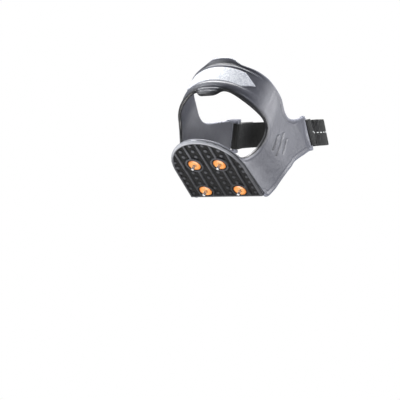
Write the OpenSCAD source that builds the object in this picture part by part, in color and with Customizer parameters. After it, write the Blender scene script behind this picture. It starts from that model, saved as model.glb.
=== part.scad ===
// Heel ice cleat: an elastic heel harness, a studded tread pad under it and an instep strap.
// Millimetres. The cleat stands on its stud tips at z = 0, with +Z up, +Y towards the toe
// and +X to the right. Shapes are laid out from the middle of the four studs, with heights
// above the lug faces, and placed() then moves them so that the origin is on the ground
// under the middle of the whole cleat.

/* [Heel harness] */
// Width of the heel floor
heel_w = 74; // [72:1:78]
// How far each side stands out beyond the floor at mid height
flare = 10; // [8:1:11]
// Distance from the stud field's middle to the back of the floor
floor_back = 47.8; // [46:0.2:49]
// Distance from the stud field's middle to the front of the floor
floor_front = 26.5; // [26:0.5:29]
// Wall thickness of the moulding
wall = 3; // [2.6:0.2:3.4]
// Thickness of the heel floor
floor_t = 2.2; // [2:0.1:2.6]

/* [Tread pad] */
// Depth of the tread pattern
tread_depth = 2; // [1.6:0.1:2.2]
// Thickness of the pad above the pattern
pad_base = 1; // [0.8:0.1:1.4]
// Width of the raised rim
rim_w = 2.6; // [2:0.2:3]
// Spacing of the long ribs
rib_pitch = 13; // [12:0.5:13.5]

/* [Studs] */
// Diameter of the coloured stud head
head_d = 12.5; // [12:0.1:12.8]
// Diameter of the stud shank
shank_d = 6; // [5:0.2:6.4]
// Diameter of the hard metal tip
tip_d = 2.8; // [2.4:0.1:3]
// How far the hard tips stand out below the lug faces
tip_out = 5; // [4:0.1:5.5]
// Half the spacing of the two back studs
back_stud_x = 13; // [12:0.5:14]
// Half the spacing of the two front studs
front_stud_x = 18; // [17:0.5:19]
// Distance from the stud field's middle to each row
stud_row_y = 17.5; // [17:0.5:18]

/* [Strap] */
// Width of the webbing
web_w = 25; // [24:0.5:25.5]
// Thickness of the webbing
web_t = 1.8; // [1.6:0.1:1.9]
// Rise of the strap's sides before they turn in over the instep
side_rise = 25; // [24:0.5:28]
// Radius of the turn at each side of the instep
turn_r = 22; // [20:1:24]

/* [Hidden] */
$fn = 48;

// Heights above the lug faces
pad_top = tread_depth + pad_base;
floor_top = pad_top + floor_t;

// Middle of the cleat's length, measured from the stud field
box_mid_y = 19.6;

module placed() { translate([0, -box_mid_y, tip_out]) children(); }

// ---- The heel form: every skin of the harness is this surface, grown or shrunk ----
// A level of the form is a half circle round the back of the heel and two straight sides.
function smooth(t) = let (c = max(0, min(1, t))) c * c * (3 - 2 * c);
function form_r(z) = heel_w / 2 + flare * smooth((z - 4) / 44) - 4 * smooth((z - 80) / 50);
function form_back(z) = -floor_back - 11.5 * smooth((z - 4) / 40) + 2 * smooth((z - 80) / 50);
function form_mid(z) = form_back(z) + form_r(z);
function form_lean(z) = 1.5 - 1.5 * smooth(z / 60) - 8 * smooth((z - 78) / 40);

// One point of a level: angle a round the back, grown outwards by g
function arc_point(a, z, g) =
    [(form_r(z) + g) * sin(a), form_mid(z) - (form_r(z) + g) * cos(a), z];

// The end of a straight side, run on until it reaches the distance y
function side_end(z, g, y, hand) =
    let (p = form_lean(z), s = arc_point(90 - p, z, g), run = (y - s.y) / cos(p))
    [hand * (s.x + run * sin(p)), y, z];

arc_steps = 22;
function level(z, g, y) =
    let (turn = 90 - form_lean(z))
    concat([side_end(z, g, y, -1)],
           [for (k = [0:arc_steps]) arc_point(turn * (2 * k / arc_steps - 1), z, g)],
           [side_end(z, g, y, 1)]);

// A solid of the form between the heights in zs, grown by g, cut off at the distance y
module form_solid(zs, g, y) {
    n = arc_steps + 3;
    top = (len(zs) - 1) * n;
    polyhedron(
        points = [for (z = zs) each level(z, g, y)],
        faces = concat(
            [[for (k = [0:n - 1]) k]],
            [[for (k = [n - 1:-1:0]) top + k]],
            [for (j = [0:len(zs) - 2], k = [0:n - 1])
                let (a = j * n + k, b = j * n + (k + 1) % n) [a, a + n, b]],
            [for (j = [0:len(zs) - 2], k = [0:n - 1])
                let (a = j * n + k, b = j * n + (k + 1) % n) [b, a + n, b + n]]));
}

form_zs = [pad_top, floor_top, 9, 14, 20, 26, 33, 40, 48, 58, 68, 78, 86, 94, 102, 110, 118];
cavity_zs = [floor_top, 9, 14, 20, 26, 33, 40, 48, 58, 68, 78, 86, 94, 102, 110, 118, 126];

// The outer skin's x where it stands beside the heel
function wing_x(y, z) =
    let (p = form_lean(z), s = arc_point(90 - p, z, 0)) s.x + (y - s.y) * tan(p);
function on_wing(y, z) = [wing_x(y, z), y, z];

// ---- Side outline of the harness: sides, wings and heel band ----
wing_outline = [
    [-70, pad_top], [floor_front, pad_top], [31, 3.8], [35, 9], [37, 18], [36.2, 29],
    [36.6, 40], [39, 52], [43, 59.5], [49.5, 70], [56.5, 82], [67, 91.5], [67, 94],
    [45.5, 114], [41.5, 114.5], [28, 98], [12.5, 80.5], [5, 75.8], [-3, 75.6], [-10, 79],
    [-15, 81.3], [-24, 83.2], [-35, 86.3], [-45, 87.5], [-52, 86.2], [-70, 86]];
window_outline = [
    [-70, floor_top], [-21, floor_top], [-16, 10], [-13, 16], [-11.4, 25], [-12.6, 35],
    [-17.5, 43.5], [-25.5, 47.6], [-36, 48.6], [-46, 50.6], [-51, 52.6], [-55, 54.6], [-70, 55]];
// Raised pull tab and thick lower lip in the middle of the heel band, seen from behind
tab_outline = [[-21, 82], [-17.5, 88], [-10, 93.3], [0, 96.3], [10, 93.3], [17.5, 88], [21, 82]];
lip_outline = [[-14, 58], [-11, 50], [-7, 47.5], [7, 47.5], [11, 50], [14, 58]];

module across(width) {
    rotate([90, 0, 90]) linear_extrude(height = width, center = true) children();
}
module behind(y) { translate([0, y, 0]) rotate([90, 0, 0]) linear_extrude(height = 60) children(); }
module rounded(r) {
    offset(r = -r, $fn = 20) offset(r = 2 * r, $fn = 20) offset(delta = -r) children();
}

module harness_zone() {
    across(140) difference() {
        rounded(2.5) polygon(wing_outline);
        rounded(2.5) polygon(window_outline);
    }
    behind(-30) polygon(tab_outline);
    behind(-30) polygon(lip_outline);
}

// ---- Strap slots: frames on the wing tips ----
slot_mid = [48.4, 97.2];
slot_tilt = 42.5;
slot_len = web_w + 2;
slot_gap = 2.7;
rod_r = 2.4;
loop_r = rod_r + 0.1 + web_t / 2;

function unit(v) = v / norm(v);
slot_dir = [cos(slot_tilt), -sin(slot_tilt)];
pull_dir = [sin(slot_tilt), cos(slot_tilt)];
function slot_point(along, out) =
    let (q = slot_mid + slot_dir * along + pull_dir * out) on_wing(q.x, q.y);

// Right-hand frame of the slot: along it, out towards the instep, and away from the boot
slot_origin = slot_point(0, 0);
slot_along = unit(slot_point(slot_len / 2, 0) - slot_point(-slot_len / 2, 0));
slot_out_raw = unit(slot_point(0, 8) - slot_origin);
slot_face = unit(cross(slot_along, slot_out_raw));
slot_out = cross(slot_face, slot_along);
rod_mid = slot_origin + slot_out * (slot_gap + rod_r) - slot_face * wall / 2;

module in_frame(o, x, y, z) {
    multmatrix([[x.x, y.x, z.x, o.x], [x.y, y.y, z.y, o.y], [x.z, y.z, z.z, o.z], [0, 0, 0, 1]])
        children();
}
module both_sides() { children(); mirror([1, 0, 0]) children(); }

// Everything between the slot's two ears, from its back edge on
module slot_cut() {
    in_frame(slot_origin, slot_along, slot_out, slot_face)
        translate([-slot_len / 2, 0, -12]) cube([slot_len, 40, 24]);
}
module slot_rod() {
    in_frame(rod_mid, slot_along, slot_out, slot_face)
        rotate([0, 90, 0]) cylinder(r = rod_r, h = slot_len + 6, center = true);
}

studs = [[-back_stud_x, -stud_row_y], [back_stud_x, -stud_row_y],
         [-front_stud_x, stud_row_y], [front_stud_x, stud_row_y]];
washer_d = 12;
washer_t = 1;

module harness() {
    color([0.42, 0.43, 0.48]) placed() {
        difference() {
            intersection() {
                form_solid(form_zs, 0, 80);
                harness_zone();
            }
            form_solid(cavity_zs, -wall, 90);
            both_sides() slot_cut();
            for (s = studs) translate([s.x, s.y, 0]) {
                translate([0, 0, pad_top - 1]) cylinder(d = shank_d, h = floor_t + 2);
                translate([0, 0, floor_top - washer_t]) cylinder(d = washer_d, h = 5);
            }
        }
        both_sides() slot_rod();
    }
}

// ---- Tread pad ----
function pad_level(g) = [for (p = level(pad_top, g, floor_front + g)) [p.x, p.y]];
boss_d = head_d + 4.5;
rib_w = 2.2;
knob_d = 3.6;
knob_pitch = 7;
lug_drop = 0.4;

// Long ribs with rows of round knobs between them
module tread_pattern() {
    for (k = [-2:2])
        translate([k * rib_pitch - rib_w / 2, -60, lug_drop]) cube([rib_w, 100, tread_depth]);
    for (k = [-3:2], j = [-6:3])
        translate([(k + 0.5) * rib_pitch, j * knob_pitch, lug_drop])
            cylinder(d = knob_d, h = tread_depth);
}

module tread_pad() {
    color([0.13, 0.14, 0.15]) placed() difference() {
        union() {
            translate([0, 0, tread_depth]) linear_extrude(height = pad_base) polygon(pad_level(0));
            linear_extrude(height = tread_depth) difference() {
                polygon(pad_level(0));
                polygon(pad_level(-rim_w));
            }
            intersection() {
                union() {
                    tread_pattern();
                    for (s = studs) translate([s.x, s.y, 0]) cylinder(d = boss_d, h = tread_depth);
                }
                linear_extrude(height = tread_depth) polygon(pad_level(-rim_w / 2));
            }
        }
        for (s = studs) translate([s.x, s.y, 0]) {
            translate([0, 0, -1]) cylinder(d = head_d + 0.6, h = tread_depth + 1);
            cylinder(d = shank_d, h = pad_top + 1);
        }
    }
}

// ---- Studs: head and shank, hard tip, and the washer that the shank is riveted over ----
head_face = -0.2;
head_edge = 0.7;
tip_seat = tread_depth + 0.6;

module stud_body(s) {
    color([0.95, 0.55, 0.2]) placed() translate([s.x, s.y, 0]) rotate_extrude() polygon([
        [tip_d / 2, head_face], [head_d / 2 - 2.4, head_face + 0.1], [head_d / 2, head_edge],
        [head_d / 2, tread_depth], [shank_d / 2, tread_depth], [shank_d / 2, floor_top],
        [0, floor_top], [0, tip_seat], [tip_d / 2, tip_seat]]);
}
module stud_tip(s) {
    color([0.8, 0.8, 0.82]) placed() translate([s.x, s.y, 0]) rotate_extrude() polygon([
        [0, -tip_out], [tip_d / 2 - 0.4, -tip_out], [tip_d / 2, 0.4 - tip_out],
        [tip_d / 2, tip_seat], [0, tip_seat]]);
}
module stud_washer(s) {
    color([0.6, 0.61, 0.63]) placed() translate([s.x, s.y, floor_top - washer_t])
        difference() {
            cylinder(d = washer_d, h = washer_t);
            translate([0, 0, -1]) cylinder(d = shank_d, h = washer_t + 2);
        }
}

// ---- Reflective strip round the heel band ----
strip_t = 0.6;
strip_outline = [
    [-36, 69.8], [-26.5, 79.2], [-14, 80.3], [0, 80.6], [14, 80.3], [26.5, 79.2], [36, 69.8],
    [26.7, 62.6], [14, 63.8], [0, 64.2], [-14, 63.8], [-26.7, 62.6]];
strip_zs = [58, 68, 78, 86];

module reflective_strip() {
    color([0.92, 0.93, 0.94]) placed() intersection() {
        difference() {
            form_solid(strip_zs, strip_t, 20);
            form_solid(form_zs, 0, 80);
        }
        behind(-30) polygon(strip_outline);
    }
}

// ---- Strap: a ribbon carried along a path. A station is [point, width direction] ----
// The arch over the instep lies in the plane of X and rise_dir. Each side is straight, then
// turns in on an arc, and a flatter arc crowns the instep.
strap_rise = 44;
rise_dir = [0, cos(strap_rise), sin(strap_rise)];
instep_slope = 32;
top_along = [0, cos(instep_slope), -sin(instep_slope)];
arch_x = 43;
arch_turn = 72;
turn_mid = arch_x - turn_r;
crown_r = turn_mid / cos(arch_turn) + turn_r;
crown_mid = side_rise - turn_mid * tan(arch_turn);

// Lean of the straight side: it passes inside the slot's rod and outside the turn
side_lean = asin((turn_r + loop_r) / norm([rod_mid.x - turn_mid, side_rise]))
    - atan2(rod_mid.x - turn_mid, side_rise);

// Frame of the webbing where it wraps the rod: out towards the instep, and away from the boot
side_dir = [sin(side_lean), 0, 0] + rise_dir * cos(side_lean);
bar_out = unit(side_dir - slot_along * (side_dir * slot_along));
bar_face = cross(slot_along, bar_out);
function near_bar(out, face) = [rod_mid + bar_out * out + bar_face * face, slot_along];
function along_at(share) = unit(slot_along * (1 - share) + top_along * share);
function arch_at(x, rise, share) =
    [[x, rod_mid.y, rod_mid.z] + rise_dir * rise, along_at(share)];
function turn_at(a, share) =
    arch_at(turn_mid + turn_r * cos(a), side_rise + turn_r * sin(a), share);
function crown_at(a, share) = arch_at(crown_r * cos(a), crown_mid + crown_r * sin(a), share);

inner_side = rod_mid - bar_face * loop_r;
turn_start = turn_at(-side_lean, 0.3)[0];
side_steps = 6;
right_side = [for (k = [0:side_steps]) let (f = k / side_steps)
    [inner_side * (1 - f) + turn_start * f, along_at(0.3 * f)]];
turn_step = 9;
right_turn = [for (a = [turn_step - side_lean:turn_step:arch_turn - 1])
    turn_at(a, 0.3 + 0.5 * (a + side_lean) / (arch_turn + side_lean))];
right_crown = [for (a = [arch_turn:3:88]) crown_at(a, 0.8 + 0.2 * (a - arch_turn) / (90 - arch_turn))];
half_arch = concat(right_side, right_turn, right_crown);

function flip(v) = [-v.x, v.y, v.z];
function flipped(path) = [for (k = [len(path) - 1:-1:0]) [flip(path[k][0]), flip(path[k][1])]];
function backwards(path) = [for (k = [len(path) - 1:-1:0]) path[k]];

// The outward face of the webbing at a station, and the path lifted off along it
function tangent(path, k) =
    unit(path[min(k + 1, len(path) - 1)][0] - path[max(k - 1, 0)][0]);
function face_at(path, k) = unit(cross(path[k][1], tangent(path, k)));
function lifted(path, from, to, gap) =
    [for (k = [from:to]) [path[k][0] + face_at(path, k) * gap, path[k][1]]];

// The end that is sewn back over the rod, then the loop, the arch and the other loop
sewn_gap = web_t + 0.05;
right_tail = concat(backwards(lifted(half_arch, 3, 6, sewn_gap)),
                    [near_bar(7.5, 0.6), near_bar(4, 2.45)]);
right_loop = [for (a = [90:15:255]) near_bar(loop_r * cos(a), loop_r * sin(a))];
arch = concat(half_arch, [crown_at(90, 1)], flipped(half_arch));
strap_path = concat(right_tail, right_loop, arch, flipped(right_loop));

// A ribbon of the given width and thickness, with its middle lifted off the path
module ribbon(path, width, thick, lift = 0) {
    last = (len(path) - 1) * 4;
    polyhedron(
        points = [for (k = [0:len(path) - 1])
            let (f = face_at(path, k), w = cross(tangent(path, k), f) * width / 2)
            each [path[k][0] + w + f * (lift - thick / 2), path[k][0] - w + f * (lift - thick / 2),
                  path[k][0] - w + f * (lift + thick / 2), path[k][0] + w + f * (lift + thick / 2)]],
        faces = concat(
            [[0, 1, 2, 3]], [[last + 3, last + 2, last + 1, last]],
            [for (k = [0:len(path) - 2], j = [0:3]) [k * 4 + (j + 1) % 4, k * 4 + j, k * 4 + 4 + j]],
            [for (k = [0:len(path) - 2], j = [0:3])
                [k * 4 + (j + 1) % 4, k * 4 + 4 + j, k * 4 + 4 + (j + 1) % 4]]));
}

module strap() {
    color([0.2, 0.21, 0.2]) placed() ribbon(strap_path, web_w, web_t);
}

// ---- Hook-and-loop closure: the free end is folded back over the left rod ----
patch_t = 0.8;
patch_gap = 0.3;
patch_w = web_w - 3;
patch_from = 4;
patch_to = 11;
flap_from = 4;
flap_to = 12;
flap_lift = web_t + 2 * patch_t + patch_gap;
flap_path = flipped(concat([near_bar(0.3, loop_r), near_bar(3.5, 2.9), near_bar(7, 1.6)],
                           lifted(half_arch, flap_from, flap_to, flap_lift)));
patch_path = flipped([for (k = [patch_from:patch_to]) half_arch[k]]);

module loop_patch() {
    color([0.12, 0.12, 0.13]) placed()
        ribbon(patch_path, patch_w, patch_t, (web_t + patch_t) / 2);
}
module hook_patch() {
    color([0.16, 0.16, 0.17]) placed()
        ribbon(patch_path, patch_w, patch_t, (web_t + 3 * patch_t) / 2 + patch_gap);
}
module strap_flap() {
    color([0.22, 0.23, 0.22]) placed() ribbon(flap_path, web_w, web_t);
}

// ---- Thread: reflective tracer dashes along the webbing, and bar tacks across it ----
dash_l = 2.7;
dash_w = 1.1;
dash_pitch = 4.8;
thread_t = 0.35;
thread_sink = 0.1;

function lengths(path) =
    [for (k = 0, s = 0; k < len(path);
        s = s + (k < len(path) - 1 ? norm(path[k + 1][0] - path[k][0]) : 0), k = k + 1) s];
function path_length(path) = let (marks = lengths(path)) marks[len(path) - 1];

// Lays children on the webbing's outer face at the distance s along the path
module laid_at(path, s) {
    marks = lengths(path);
    k = [for (j = [0:len(path) - 2]) if (marks[j] <= s && s < marks[j + 1]) j][0];
    ahead = path[k + 1][0] - path[k][0];
    along = unit(ahead);
    face = unit(cross(path[k][1], along));
    spot = path[k][0] + along * (s - marks[k]) + face * (web_t / 2 - thread_sink);
    in_frame(spot, along, cross(face, along), face) children();
}
module dashes(path, from, to) {
    for (s = [from:dash_pitch:to])
        laid_at(path, s) translate([-dash_l / 2, -dash_w / 2, 0]) cube([dash_l, dash_w, thread_t]);
}

tail_path = backwards(right_tail);
tail_length = path_length(tail_path);
arch_length = path_length(arch);
flap_length = path_length(flap_path);

module strap_tracer() {
    color([0.85, 0.86, 0.86]) placed() {
        dashes(arch, path_length(right_side) + 3, arch_length - flap_length - 2);
        dashes(tail_path, 2.4, tail_length - 1.5);
    }
}
module flap_tracer() {
    color([0.85, 0.86, 0.86]) placed() dashes(flap_path, 3, flap_length - 3);
}
module end_stitching() {
    color([0.1, 0.1, 0.11]) placed()
        for (s = [tail_length - 8, tail_length - 2.5], hand = [-1, 1])
            laid_at(tail_path, s) translate([-0.6, hand * 5.8 - 4.8, 0]) cube([1.2, 9.6, thread_t]);
}

harness();
tread_pad();
stud_body(studs[0]);  // stud_body_1
stud_body(studs[1]);  // stud_body_2
stud_body(studs[2]);  // stud_body_3
stud_body(studs[3]);  // stud_body_4
stud_tip(studs[0]);  // stud_tip_1
stud_tip(studs[1]);  // stud_tip_2
stud_tip(studs[2]);  // stud_tip_3
stud_tip(studs[3]);  // stud_tip_4
stud_washer(studs[0]);  // stud_washer_1
stud_washer(studs[1]);  // stud_washer_2
stud_washer(studs[2]);  // stud_washer_3
stud_washer(studs[3]);  // stud_washer_4
reflective_strip();
strap();
loop_patch();
strap_flap();
hook_patch();
strap_tracer();
flap_tracer();
end_stitching();
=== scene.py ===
# %% [markdown]
# # A heel ice cleat, built piece by piece
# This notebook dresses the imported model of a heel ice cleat: an elastic harness that grips
# a boot's heel, a studded tread pad under it, and a webbing strap over the instep. The packed
# model is loaded first and is never moved. Every new piece is worked out in the same frame,
# so it lands where its solid is, and then rides on that solid's body.

import bpy
import bmesh
import numpy as np
from mathutils import Matrix, Vector


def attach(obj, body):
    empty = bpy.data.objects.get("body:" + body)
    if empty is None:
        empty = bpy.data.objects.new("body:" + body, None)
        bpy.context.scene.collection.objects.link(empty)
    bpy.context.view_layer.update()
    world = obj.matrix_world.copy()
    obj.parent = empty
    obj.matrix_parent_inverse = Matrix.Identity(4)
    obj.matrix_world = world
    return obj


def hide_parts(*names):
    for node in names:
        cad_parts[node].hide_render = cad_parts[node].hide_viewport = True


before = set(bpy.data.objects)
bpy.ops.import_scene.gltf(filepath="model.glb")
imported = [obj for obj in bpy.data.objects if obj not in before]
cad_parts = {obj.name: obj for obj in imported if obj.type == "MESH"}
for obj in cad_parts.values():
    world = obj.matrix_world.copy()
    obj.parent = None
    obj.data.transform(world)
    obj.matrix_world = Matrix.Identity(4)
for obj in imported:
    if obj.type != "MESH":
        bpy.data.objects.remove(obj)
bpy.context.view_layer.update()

# %% [markdown]
# ## Where things are measured from
# The moulding is easiest to describe from the middle of its four studs, in millimetres, with
# heights above the faces of the tread's lugs. The frame stands on the ground under the middle
# of the whole cleat, in metres. One helper turns the first into the second, so no other cell
# has to think about it.

# %% From stud-field millimetres to the frame
MM = 0.001
TIP_OUT = 5.0
MIDDLE_Y = 19.6


def placed(points):
    """Points in mm from the studs' middle, as places in metres in the frame."""
    return (np.asarray(points, float) + (0, -MIDDLE_Y, TIP_OUT)) * MM


def smooth(t):
    """The soft step c*c*(3-2c), with c held between 0 and 1."""
    c = np.clip(t, 0, 1)
    return c * c * (3 - 2 * c)


def hump(distance, reach):
    """A bell of height 1 at no distance that is all but gone at twice its reach."""
    return np.exp(-((np.asarray(distance) / reach) ** 2))


def unit(v):
    """Vectors of length 1, along the last axis."""
    v = np.asarray(v, float)
    return v / np.maximum(np.linalg.norm(v, axis=-1, keepdims=True), 1e-12)


print("lug faces stand", TIP_OUT, "mm above the ground")

# %% [markdown]
# ## Grids that close
# Nearly every piece is a grid of points: stations along a path, and a ring of points round the
# section at each. The quads come from the numbering alone. The two ends are closed by
# stitching each ring to itself like a zip, which keeps small, even faces where a fan would
# pinch them. Blender then turns every face outwards once, before anything else is done.

# %% Grid, cap and piece helpers
def grid_faces(rows, cols, ring=False):
    """Quads of rows x cols points numbered row by row; a ring joins the last column to the first."""
    r = np.arange(rows - 1)[:, None]
    c = np.arange(cols if ring else cols - 1)[None, :]
    n = (c + 1) % cols
    return np.stack([r * cols + c, r * cols + n, (r + 1) * cols + n, (r + 1) * cols + c], -1).reshape(-1, 4)


def zip_cap(first, cols):
    """Quads across a ring that starts at index first: point j is tied to its mirror, cols-1-j."""
    j = np.arange(cols // 2 - 1)
    return np.stack([j, j + 1, cols - 2 - j, cols - 1 - j], -1) + first


def tube(points):
    """A closed skin from an array of (stations, ring, 3) points: its flat points and its quads."""
    rows, cols = points.shape[:2]
    faces = [grid_faces(rows, cols, ring=True), zip_cap(0, cols), zip_cap((rows - 1) * cols, cols)]
    return points.reshape(-1, 3), np.concatenate(faces)


def joined(skins):
    """Several closed skins as one list of points and one of faces."""
    starts = np.cumsum([0] + [len(points) for points, _ in skins[:-1]])
    return (np.concatenate([points for points, _ in skins]),
            np.concatenate([faces + start for (_, faces), start in zip(skins, starts)]))


def make_piece(name, skin, material, body="root", stands_for=(), marks=None):
    """A finished object from a skin in stud-field mm, riding on its body. marks are vertex attributes."""
    points, faces = skin
    mesh = bpy.data.meshes.new(name)
    mesh.from_pydata(placed(points).tolist(), [], [list(face) for face in faces])
    shell = bmesh.new()
    shell.from_mesh(mesh)
    bmesh.ops.recalc_face_normals(shell, faces=shell.faces)
    shell.to_mesh(mesh)
    shell.free()
    mesh.polygons.foreach_set("use_smooth", np.ones(len(mesh.polygons), bool))
    for mark, values in (marks or {}).items():
        kind = "FLOAT_VECTOR" if np.ndim(values) == 2 else "FLOAT"
        layer = mesh.attributes.new(mark, kind, "POINT")
        field = "vector" if kind == "FLOAT_VECTOR" else "value"
        layer.data.foreach_set(field, np.asarray(values, np.float32).ravel())
    mesh.materials.append(material)
    made = bpy.data.objects.new(name, mesh)
    bpy.context.scene.collection.objects.link(made)
    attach(made, body)
    if stands_for:
        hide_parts(*stands_for)
    print(f"{name}: {len(mesh.vertices)} points, {len(mesh.polygons)} faces, on {body}")
    return made


# %% [markdown]
# ## Finishes
# A material here is one Principled shader and a few texture nodes. Numbers that are the same
# all over are typed on the shader itself. Only what varies, such as a mottled colour, a worn
# gloss or a grain, comes through nodes, and it reads the object's own coordinates or an
# attribute that the piece carries, so the pattern stays put from every side.

# %% Node helpers
class Finish:
    """A new material that is built node by node; steady=... sets constants on the shader."""

    def __init__(self, name, **steady):
        self.material = bpy.data.materials.new(name)
        self.material.use_nodes = True
        self.tree = self.material.node_tree
        self.shader = self.tree.nodes["Principled BSDF"]
        self.place = self.add("ShaderNodeTexCoord").outputs["Object"]
        for socket, value in steady.items():
            self.shader.inputs[socket.replace("_", " ")].default_value = value

    def add(self, kind, inputs=None, **settings):
        """One node, with its settings and with its inputs typed in or linked."""
        node = self.tree.nodes.new(kind)
        for key, value in settings.items():
            setattr(node, key, value)
        for key, value in (inputs or {}).items():
            if isinstance(value, bpy.types.NodeSocket):
                self.tree.links.new(value, node.inputs[key])
            else:
                node.inputs[key].default_value = value
        return node

    def noise(self, size, detail, stretch=(1, 1, 1), source=None):
        """Noise whose blobs are about size metres across, longer where stretch is above 1."""
        turned = self.add("ShaderNodeMapping", {"Vector": source or self.place,
                                                "Scale": tuple(1 / s for s in stretch)})
        return self.add("ShaderNodeTexNoise", {"Vector": turned.outputs[0], "Scale": 1 / size,
                                               "Detail": detail, "Roughness": 0.55}).outputs["Fac"]

    def spread(self, value, low, high, out_low, out_high):
        """A value stretched from low..high to out_low..out_high, and held there."""
        return self.add("ShaderNodeMapRange", {"Value": value, "From Min": low, "From Max": high,
                                               "To Min": out_low, "To Max": out_high}).outputs[0]

    def times(self, a, b):
        """Two numbers multiplied."""
        return self.add("ShaderNodeMath", {0: a, 1: b}, operation="MULTIPLY").outputs[0]

    def ridges(self, value, width):
        """Rounded ridges, each width wide, across a value: the size of its sine."""
        height = self.times(value, float(np.pi / width))
        for operation in ("SINE", "ABSOLUTE"):
            height = self.add("ShaderNodeMath", {0: height}, operation=operation).outputs[0]
        return height

    def mix(self, share, a, b):
        """Colour a where share is 0 and colour b where it is 1."""
        node = self.add("ShaderNodeMix", data_type="RGBA")
        for key, value in (("Factor_Float", share), ("A_Color", a), ("B_Color", b)):
            socket = next(s for s in node.inputs if s.identifier == key)
            if isinstance(value, bpy.types.NodeSocket):
                self.tree.links.new(value, socket)
            else:
                socket.default_value = value if key == "Factor_Float" else (*value, 1)
        return next(s for s in node.outputs if s.identifier == "Result_Color")

    def mottle(self, size, detail, dull, bright):
        """A colour that wanders from dull to bright in blobs of that size."""
        return self.mix(self.spread(self.noise(size, detail), 0.35, 0.65, 0, 1), dull, bright)

    def mark(self, name):
        """A vertex attribute of the piece, as a number."""
        return self.add("ShaderNodeAttribute", attribute_name=name).outputs["Fac"]

    def to(self, socket, value):
        """Links a value to one of the shader's sockets."""
        self.tree.links.new(value, self.shader.inputs[socket])

    def gloss(self, size, detail, low, high):
        """Roughness that wanders from low to high in blobs of that size."""
        self.to("Roughness", self.spread(self.noise(size, detail), 0.3, 0.7, low, high))

    def bumps(self, *layers):
        """Stacks bumps: each layer is (height 0..1, depth in metres)."""
        normal = None
        for height, depth in layers:
            inputs = {"Height": height, "Distance": depth, "Strength": 1.0}
            if normal is not None:
                inputs["Normal"] = normal
            normal = self.add("ShaderNodeBump", inputs).outputs["Normal"]
        self.to("Normal", normal)


print("finish helpers ready")

# %% [markdown]
# ## The moulded rubber
# The harness is a soft grey thermoplastic rubber. A mould leaves a fine matt grain on it, and its
# colour is a little uneven. Its edges are painted paler, partly for wear and partly as a painted
# highlight. Its window rim, grooves, hollows and inside are painted near black as painted shade. The
# grain is a small bump and the mottle is two sizes of noise. The paler edges follow an attribute that
# says how near a point is to the rim of the moulding, and the painted shade follows a second attribute.

# %% Harness finish
def moulded_rubber(name, dark, pale, gloss):
    """Matt rubber: mottled between two greys, paler by one mark (wear and a painted highlight), near black by
    the mark 'shaded' (painted shade).
    """
    f = Finish(name, Specular_IOR_Level=0.55, IOR=1.5, Coat_Weight=0.06, Coat_Roughness=0.35)
    colour = f.mottle(0.018, 3, dark, pale)
    speck = f.spread(f.noise(0.0006, 2), 0.45, 0.75, 0, 0.22)
    colour = f.mix(speck, colour, tuple(min(1, 1.7 * c) for c in pale))
    # Paler by the mark: wear on the edges, and a painted highlight on the rims and the tab's crescent.
    paler_share = f.times(f.mark("wear_and_highlight"), f.spread(f.noise(0.004, 4), 0.3, 0.7, 0.45, 1.0))
    colour = f.mix(paler_share, colour, tuple(min(1, 3.0 * c) for c in pale))
    # Near black by the mark 'shaded': painted shade on the window's rim, in grooves and hollows, and inside.
    colour = f.mix(f.mark("shaded"), colour, (0.004, 0.004, 0.005))
    f.to("Base Color", colour)
    streaks = f.noise(0.003, 5, stretch=(1, 1, 7))
    f.to("Roughness", f.spread(streaks, 0.3, 0.7, gloss - 0.06, gloss + 0.08))
    f.bumps((f.noise(0.00045, 2), 0.00008), (f.noise(0.006, 3), 0.00025))
    return f.material


harness_rubber = moulded_rubber("harness_rubber", (0.082, 0.085, 0.104), (0.112, 0.116, 0.138), 0.4)
print(harness_rubber.name, len(harness_rubber.node_tree.nodes), "nodes")

# %% [markdown]
# ## The heel form
# Every skin of the harness lies on one form, shaped like the back of a boot. At each height it
# is a half circle round the heel and a straight run along each side. It swells from the floor
# to the ankle and closes in again above. The form could be sculpted, but a formula keeps it
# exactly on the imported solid. A point on it is found from how far round the heel it is, and
# how high.

# %% The form, as a function of distance round and height
ROUND = 72.0  # mm round the heel from the middle of the back to where a side turns straight


def form_r(z):
    """Radius: 37 at the floor, plus 10 by mid height, less 4 towards the top."""
    return 37 + 10 * smooth((z - 4) / 44) - 4 * smooth((z - 80) / 50)


def form_mid(z):
    """Y of the half circle's middle: the back of the heel, which leans out with height, plus the radius."""
    return -47.8 - 11.5 * smooth((z - 4) / 40) + 2 * smooth((z - 80) / 50) + form_r(z)


def form_lean(z):
    """Angle of the straight sides to +Y, in radians: they spread at the floor and toe in at the top."""
    return np.radians(1.5 - 1.5 * smooth(z / 60) - 8 * smooth((z - 78) / 40))


def on_form(w, z, grow=0.0):
    """Place on the form w mm round from the middle of the back, to the right where w is positive."""
    w, z = np.broadcast_arrays(np.asarray(w, float), np.asarray(z, float))
    turn = np.pi / 2 - form_lean(z)
    a = turn * np.minimum(np.abs(w) / ROUND, 1)
    run = np.maximum(np.abs(w) - ROUND, 0)
    r = form_r(z) + grow
    x = r * np.sin(a) + run * np.sin(form_lean(z))
    y = form_mid(z) - r * np.cos(a) + run * np.cos(form_lean(z))
    return np.stack([np.sign(w) * x, y, z], -1)


def side_w(y, z):
    """How far round a point at distance y and height z is, on the right: the reverse of on_form."""
    turn = np.pi / 2 - form_lean(z)
    a = np.arccos(np.clip((form_mid(z) - y) / form_r(z), -1, 1))
    turn_y = form_mid(z) - form_r(z) * np.cos(turn)
    straight = ROUND + (y - turn_y) / np.cos(form_lean(z))
    return np.where(y < turn_y, ROUND * a / turn, straight)


def back_w(x, z):
    """How far round a point of the back at x and height z is."""
    return ROUND * np.arcsin(np.clip(x / form_r(z), -1, 1)) / (np.pi / 2 - form_lean(z))


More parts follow.
